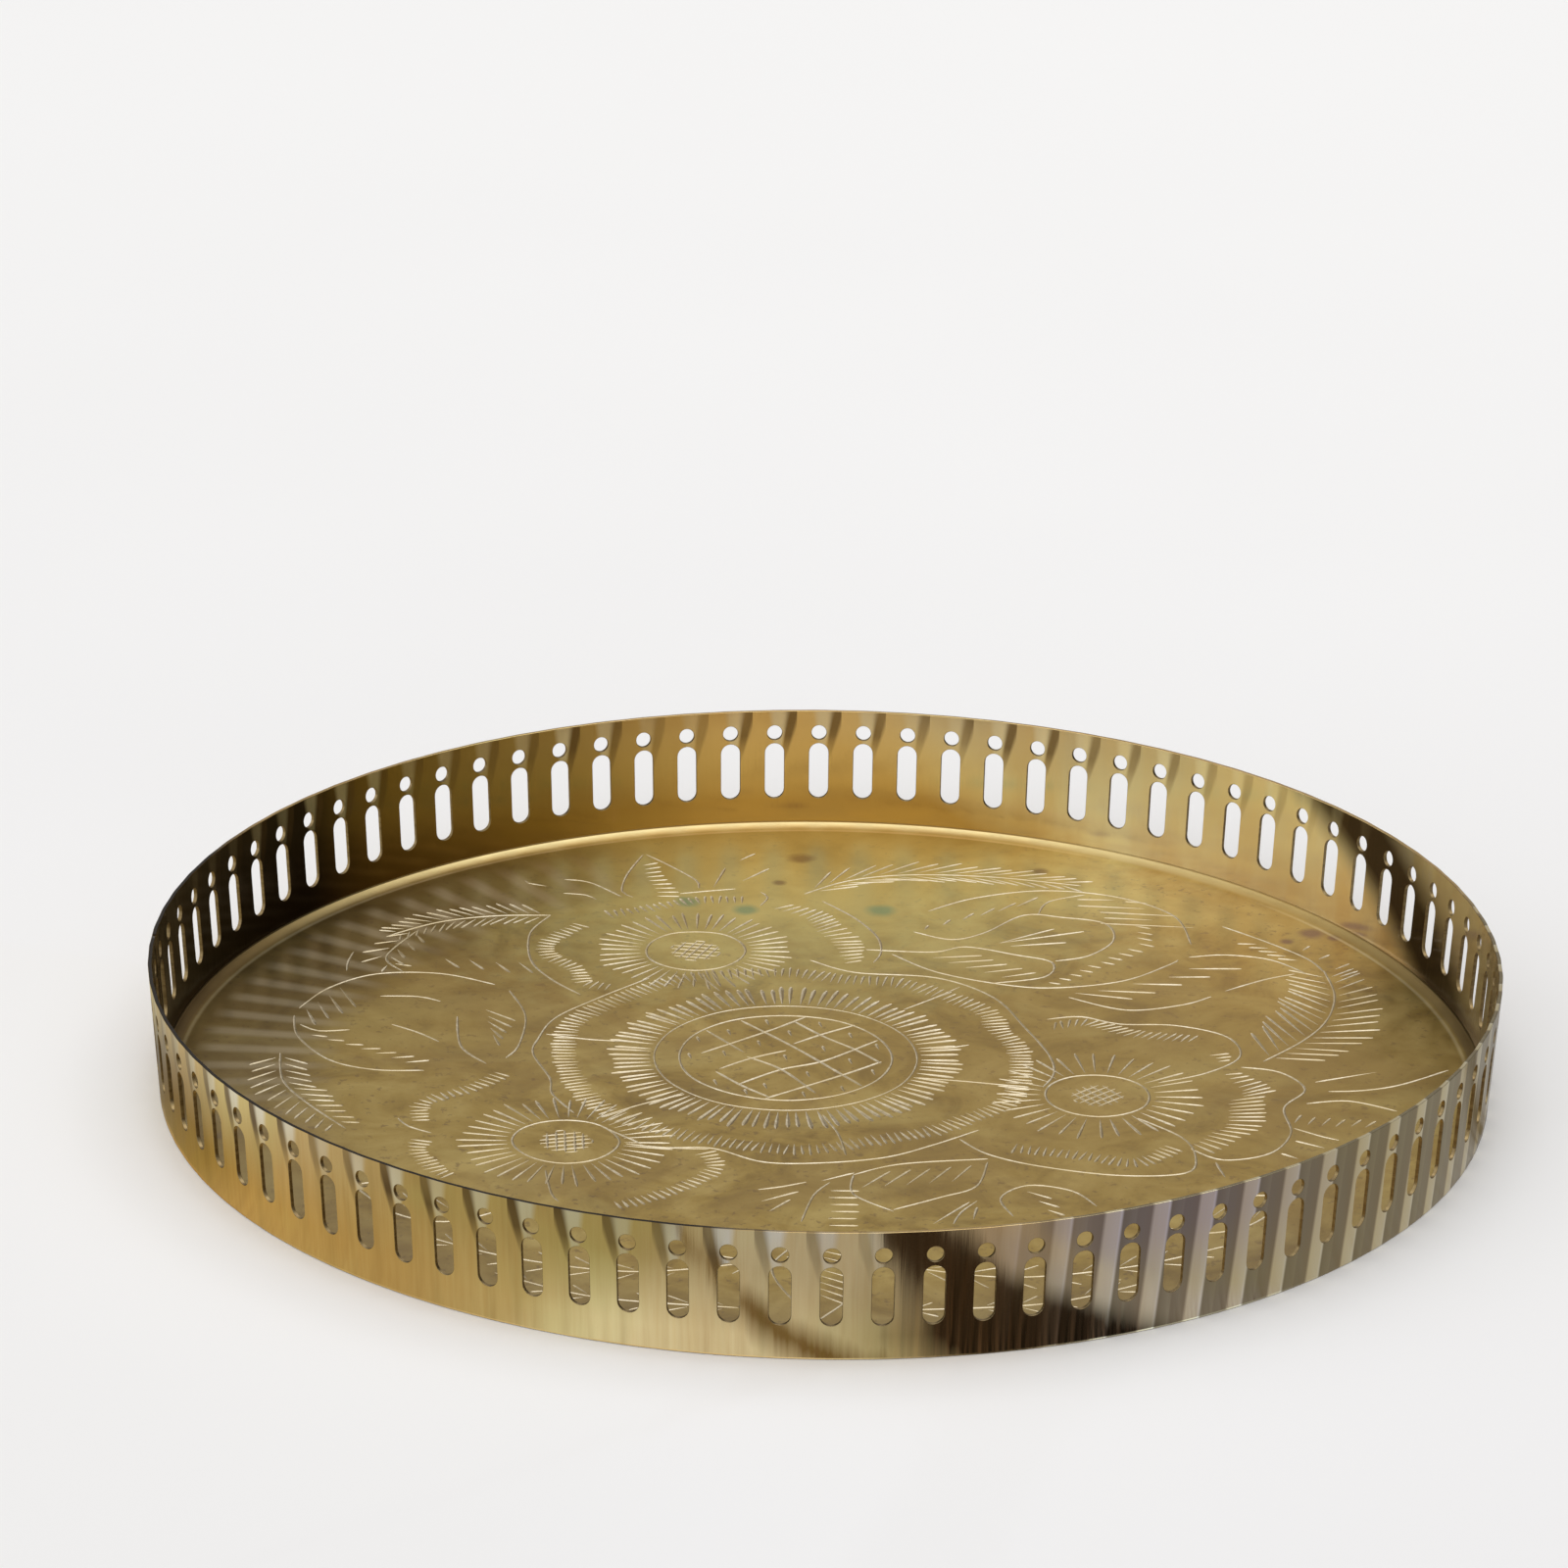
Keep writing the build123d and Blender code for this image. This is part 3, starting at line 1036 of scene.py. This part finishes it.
def band_sheet(name):
    """The start of either face of the band: brushed gold."""
    brass = Finish(name)
    strip = brass.unrolled()
    brushing = brass.noise(900, 3, 0.6, stretch=(1, 0.04, 1), place=strip)
    smears = brass.noise(140, 3, 0.55, stretch=(1, 0.12, 1), place=strip)
    colour = brass.two_tone(brushing, GOLD, WARM_GOLD)
    colour = brass.mix(brass.span(smears, 0.5, 0.72, 0.0, 0.55), colour, OLD_GOLD)
    return brass, brushing, colour


def with_reflection_wedges(brass, colour, where):
    """A colour with the dark and the pale painted reflection streak of every column laid over it, where it
    is 1.
    """
    uneven = brass.noise(24, 2, 0.5, place=brass.unrolled())
    dark = reflection_wedge(brass, 0.40, 0.16, 0.24) * brass.span(uneven, 0.35, 0.6, 0.35, 0.95)
    light = reflection_wedge(brass, 0.10, 0.06, 0.26) * brass.span(uneven, 0.4, 0.6, 0.35, 0.9)
    colour = brass.mix(dark * where, colour, (0.16, 0.10, 0.05))
    return brass.mix(light * where, colour, CREAM)


def polished(brass, brushing, colour):
    """Either face of the band finished off with the gloss of brushed, worn brass."""
    draw_lines = brass.noise(220, 4, 0.65, stretch=(1, 0.03, 1), place=brass.unrolled())
    normal = brass.bump(draw_lines, 0.00012, 0.6)
    normal = brass.bump(brushing, 0.00001, 0.35, under=normal)
    return brass.finish(colour, brass.between(brushing, 0.09, 0.15), normal)


def band_outside():
    """The outer face: painted reflection streaks at the front, painted reflection stripes on the right, a
    painted dark reflection on the rim edge at the left.
    """
    brass, brushing, colour = band_sheet("polished_band_outside")
    height = brass.axis("Z")
    drift = brass.noise(14, 4, 0.55, place=brass.unrolled())
    colour = brass.mix(brass.span(drift, 0.50, 0.66, 0.0, 0.6), colour, (0.80, 0.68, 0.30))
    colour = brass.mix(brass.span(drift, 0.34, 0.48, 0.5, 0.0), colour, (0.62, 0.38, 0.14))
    colour = with_reflection_wedges(brass, colour, brass.arc_mask(228, 46, 54))

    # Painted reflection stripes on the right, pale and dark by turns
    start = STRIPES * STRIPE_BEARING - COLUMNS * (STRIPE_BEARING - FIRST_COLUMN / math.tau)
    lean = brass.span(height, 0.0, HEIGHT, -STRIPE_LEAN / 2, STRIPE_LEAN / 2)
    stripe = brass.ramp(
        brass.maths("FRACT", brass.bearing() * STRIPES - (start - COLUMNS - 0.5) + lean),
        (0.00, (0.38, 0.335, 0.22)), (0.27, (0.31, 0.27, 0.175)), (0.32, (0.98, 0.93, 0.74)),
        (0.36, (0.92, 0.84, 0.60)), (0.62, (0.86, 0.76, 0.50)), (0.69, (0.34, 0.28, 0.18)),
        (0.86, (0.33, 0.285, 0.19)),
    )
    colour = brass.mix(brass.arc_mask(119, 38, 48) * 0.92, colour, stripe)
    # A painted dark reflection along the rim edge on the left
    rim = brass.span(height, HEIGHT - EDGE_BREAK, HEIGHT - EDGE_BREAK / 2)
    colour = brass.mix(rim * brass.arc_mask(240, 50, 60), colour, DARK_REFLECTION)
    return polished(brass, brushing, colour)


def band_inside():
    """The inner face, painted with reflections: nearly black on the left, coppery at the back with painted
    reflection streaks, pale and dark on the right.
    """
    brass, brushing, colour = band_sheet("polished_band_inside")
    rise = brass.span(brass.axis("Z"), 0.0, HEIGHT)
    turn = brass.maths("FRACT", brass.bearing() + 0.5)  # 0.5 is the back
    low = brass.by_degrees(turn, LINING_LOW, start=0.5)
    high = brass.by_degrees(turn, LINING_HIGH, start=0.5)
    colour = brass.mix(0.98, colour, brass.mix(brass.span(rise, 0.25, 0.85), low, high))

    # Painted reflections on the right, leaning up the band
    leaning = turn + rise * (REFLECTION_LEAN / 360)
    reflected = brass.by_degrees(leaning, RIGHT_REFLECTIONS, start=0.5)
    wear_and_sheen = brass.span(leaning, 0.5 + 15 / 360, 0.5 + 28 / 360)
    wear_and_sheen = wear_and_sheen * brass.span(leaning, 0.5 + 125 / 360, 0.5 + 165 / 360, 1.0, 0.0)
    patches = brass.noise(30, 5, 0.6, stretch=(1, 0.35, 1), place=brass.unrolled())
    patchy = brass.span(patches, 0.35, 0.6, 0.45, 1.0)
    dark_side = brass.span(leaning, 0.5 + 60 / 360, 0.5 + 68 / 360)
    colour = brass.mix(wear_and_sheen * brass.maths("MAXIMUM", patchy, dark_side), colour, reflected)
    return polished(brass, brushing, with_reflection_wedges(brass, colour, brass.arc_mask(350, 32, 70) * 0.85))


def sheared_edge():
    """The dull walls of the pierced holes."""
    brass = Finish("sheared_band_edge")
    grain = brass.noise(1200, 3, 0.6, stretch=(0.2, 0.2, 1))
    colour = brass.two_tone(grain, (0.20, 0.14, 0.07), (0.36, 0.27, 0.13))
    return brass.finish(colour, brass.between(grain, 0.3, 0.45))


def braze():
    """Filed braze, a little paler than the sheet."""
    metal = Finish("filed_braze")
    grain = metal.noise(1500, 3, 0.6, stretch=(1, 1, 0.15))
    colour = metal.two_tone(grain, (0.70, 0.52, 0.27), (0.84, 0.70, 0.45))
    return metal.finish(colour, metal.between(grain, 0.28, 0.42), metal.bump(grain, 0.00003, 0.5))


def solder():
    """Dull grey soft solder with a cast, rippled skin."""
    metal = Finish("soft_solder")
    ripple = metal.noise(260, 4, 0.6)
    colour = metal.two_tone(ripple, (0.36, 0.35, 0.33), (0.60, 0.60, 0.58))
    return metal.finish(colour, metal.between(ripple, 0.35, 0.55), metal.bump(ripple, 0.0001, 0.6))


# ------------ stage, light and camera
GROUND_RADIUS = 8


def pale_floor():
    """A plain pale ground that the camera sees but the polished brass doesn't mirror."""
    points = ring_points(GROUND_RADIUS, -MM / 10, 128)
    floor = mesh_object("pale_floor", points, [tuple(range(len(points)))])
    ground = Finish("pale_ground")
    colour = ground.two_tone(ground.noise(3, 2, 0.5), (0.745, 0.742, 0.748), (0.765, 0.762, 0.768))
    # Painted light: the ground is paler further back, and it glows faintly all over
    colour = ground.mix(ground.span(ground.axis("Y"), 0.2, 1.6), colour, (0.84, 0.84, 0.84))
    ground.set_surface(Emission_Color=(1, 1, 1), Emission_Strength=0.085)
    floor.data.materials.append(ground.finish(colour, 0.9, metallic=0.0))
    floor.visible_glossy = False


DARK = (0.02, 0.016, 0.014)
DIM = (0.20, 0.19, 0.18)
HALF = (0.42, 0.40, 0.37)
COOL = (0.78, 0.84, 0.92)
WHITE = (0.95, 0.96, 0.98)
WARM = (0.66, 0.62, 0.46)
AMBER = (0.50, 0.36, 0.15)

# What the brass mirrors from the room, by compass bearing in degrees: below its horizon and above it
BELOW = (
    (0, DIM), (40, HALF), (84, HALF), (104, COOL), (125, COOL), (142, DIM), (150, DARK), (180, WHITE),
    (270, WARM), (315, AMBER), (335, AMBER), (360, DIM),
)
ABOVE = (
    (0, HALF), (12, HALF), (28, DARK), (72, DARK), (92, DIM), (130, HALF), (165, WHITE), (215, WHITE),
    (240, (1.3, 1.3, 1.3)), (285, (1.2, 1.2, 1.2)), (305, DIM), (320, DARK), (340, DARK),
    (352, HALF), (360, HALF),
)

# What the outside of the band mirrors from the ground, by bearing from the middle of the tray: at the
# foot, and a little way out, which shows higher up on the band
NEAR = (
    (70, DIM), (95, HALF), (145, HALF), (156, (0.40, 0.41, 0.45)), (174, (0.42, 0.43, 0.40)),
    (184, (0.78, 0.86, 1.0)), (198, (0.85, 0.95, 1.05)), (207, (0.58, 0.57, 0.44)),
    (225, (0.58, 0.50, 0.30)), (238, (0.60, 0.48, 0.24)), (248, (0.38, 0.29, 0.10)),
    (262, (0.22, 0.17, 0.09)), (272, DIM), (287, (0.56, 0.48, 0.26)),
)
FAR = (
    (70, HALF), (95, (0.45, 0.44, 0.41)), (118, HALF), (140, (0.32, 0.30, 0.44)),
    (158, (0.36, 0.35, 0.46)), (174, (0.52, 0.56, 0.66)), (188, (0.54, 0.60, 0.70)),
    (198, (0.40, 0.40, 0.28)), (222, (0.46, 0.43, 0.29)), (236, (0.60, 0.58, 0.50)),
    (250, (0.72, 0.70, 0.60)), (268, (0.70, 0.68, 0.52)), (287, (0.60, 0.52, 0.30)),
)
NEAR_START = 70
NEAR_END = 290
NEAR_RADIUS = 0.45

# Streaks on that ground: the compass turn of each, how far it passes from the middle of the
# tray, its half width where it is darkest and where it ends, and its tone
STREAKS = (
    (15, 0.096, 0.018, 0.034, DARK),
    (15, 0.132, 0.004, 0.016, (0.46, 0.44, 0.48)),
    (50, 0.134, 0.001, 0.010, (0.20, 0.16, 0.09)),
)
STREAK_RAGGED = 0.012
STREAK_TAPER = 1.7  # how much narrower a streak is further out
SPOKE_BEND = 63  # degrees


def sky():
    """Soft light from above, with a dimmer, uneven room round the sides for the brass to mirror."""
    world = bpy.data.worlds.new("soft_room")
    world.use_nodes = True
    room = Graph(world.node_tree, "Generated")
    height = room.axis("Z")
    around = room.bearing()
    low, side = room.by_degrees(around, BELOW), room.by_degrees(around, ABOVE)
    colour = room.mix(room.span(height, -0.2, -0.05), low, side)
    colour = room.mix(room.span(height, 0.5, 0.85), colour, (1.1, 1.09, 1.07))
    room.join(colour, world.node_tree.nodes["Background"].inputs["Color"])
    bpy.context.scene.world = world


def near_ground():
    """A glowing card round the foot, light and dark by turns like the ground in a real room.

    Streaks cross it at a slant, which the band mirrors as slanting shades. The camera and the pale
    floor don't see the card: only polished metal mirrors it.
    """
    steps = 2 * (NEAR_END - NEAR_START)
    points, faces = [], []
    for i in range(steps + 1):
        angle = math.radians(NEAR_START + (NEAR_END - NEAR_START) * i / steps)
        for reach in (FOOT_RADIUS + MM / 2, NEAR_RADIUS):
            points.append((reach * math.sin(angle), reach * math.cos(angle), MM / 10))
    for i in range(steps):
        faces.append((2 * i, 2 * i + 1, 2 * i + 3, 2 * i + 2))
    card = mesh_object("near_ground", points, faces)
    glow = Finish("near_ground_tones")
    around = glow.bearing()
    radius = glow.radius()
    far = glow.span(radius, FOOT_RADIUS + 10 * MM, FOOT_RADIUS + 40 * MM)
    tone = glow.mix(far, glow.by_degrees(around, NEAR), glow.by_degrees(around, FAR))

    # The band mirrors a spoke of the ground at a slant, so the spokes bend to look upright in it
    bend = (radius - FOOT_RADIUS) / radius * glow.maths("SINE", around * math.tau) * SPOKE_BEND
    spoke = glow.add("ShaderNodeCombineXYZ", {"X": around * 360 + bend}).outputs["Vector"]
    spokes = glow.noise(0.7, 3, 0.65, place=spoke)
    tone = glow.mix(glow.span(spokes, 0.45, 0.7, 0.0, 0.3), tone, (0.30, 0.22, 0.12))
    blush = glow.span(glow.noise(2.2, 3, 0.6, place=spoke), 0.45, 0.70, 0.0, 0.6)
    ragged = glow.span(spokes, 0.25, 0.75, -STREAK_RAGGED / 2, STREAK_RAGGED / 2)
    taper = glow.span(far, 0.0, 1.0, 1.0, STREAK_TAPER)
    for turn, offset, core, edge, shade in STREAKS:
        angle = math.radians(turn)
        off = glow.vector("DOT_PRODUCT", (math.cos(angle), -math.sin(angle), 0))
        beside = (abs(off - offset) + ragged) * taper
        shade = glow.mix(blush, shade, (0.20, 0.14, 0.12))
        tone = glow.mix(glow.span(beside, core, edge, 1.0, 0.0), tone, shade)
    glow.set_surface(Base_Color=(0, 0, 0), Specular_IOR_Level=0, Emission_Strength=1, Emission_Color=tone)
    glow.material.cycles.emission_sampling = "NONE"
    card.data.materials.append(glow.material)
    card.visible_camera = False
    card.visible_diffuse = False
    card.visible_shadow = False


def softbox(name, place, size, power):
    """A round light that faces the tray."""
    light = bpy.data.lights.new(name, "AREA")
    light.shape = "DISK"
    light.size = size
    light.energy = power
    lamp = bpy.data.objects.new(name, light)
    lamp.location = place
    lamp.rotation_euler = (-Vector(place)).to_track_quat("-Z", "Y").to_euler()
    bpy.context.scene.collection.objects.link(lamp)


# The camera's place, its turn to the left of straight ahead, down and round its axis, and its lens
VIEW_FROM = (0, -1.93099, 0.83979)
VIEW_YAW = math.radians(0.3343)
VIEW_PITCH = math.radians(21.4547)
VIEW_ROLL = math.radians(0.7241)
LENS = 185.454


def camera():
    """A long lens, low in front of the tray."""
    lens = bpy.data.cameras.new("camera")
    lens.lens = LENS
    lens.sensor_width = 36
    viewer = bpy.data.objects.new("camera", lens)
    tilted = Matrix.Rotation(math.pi / 2 - VIEW_PITCH, 4, "X") @ Matrix.Rotation(VIEW_ROLL, 4, "Z")
    viewer.matrix_world = Matrix.Translation(VIEW_FROM) @ Matrix.Rotation(VIEW_YAW, 4, "Z") @ tilted
    bpy.context.scene.collection.objects.link(viewer)
    bpy.context.scene.camera = viewer


# ------------ the tray
for draw in (
    central_flower, left_flower, right_flower, lower_flower, bud, ferns, leaves, front_sprays,
):
    draw()

plate = base_plate()
plate.data.materials.append(floor_brass())
plate.data.materials.append(cut_brass())
plate.data.materials.append(underside_brass())
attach(plate, "root")
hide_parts("base_plate")

band = gallery_band()
band.data.materials.append(band_outside())
band.data.materials.append(band_inside())
band.data.materials.append(sheared_edge())
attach(band, "root")
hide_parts("gallery_band")

for node, slot_name, finish in (("band_seam", "braze", braze), ("edge_solder", "solder", solder)):
    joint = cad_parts[node]
    joint.data.materials.clear()
    joint.data.materials.append(finish())

pale_floor()
sky()
near_ground()
softbox("overhead", place=(0.3, 0.4, 2.4), size=2.3, power=15.5)
camera()
bpy.context.scene.view_settings.view_transform = "Standard"
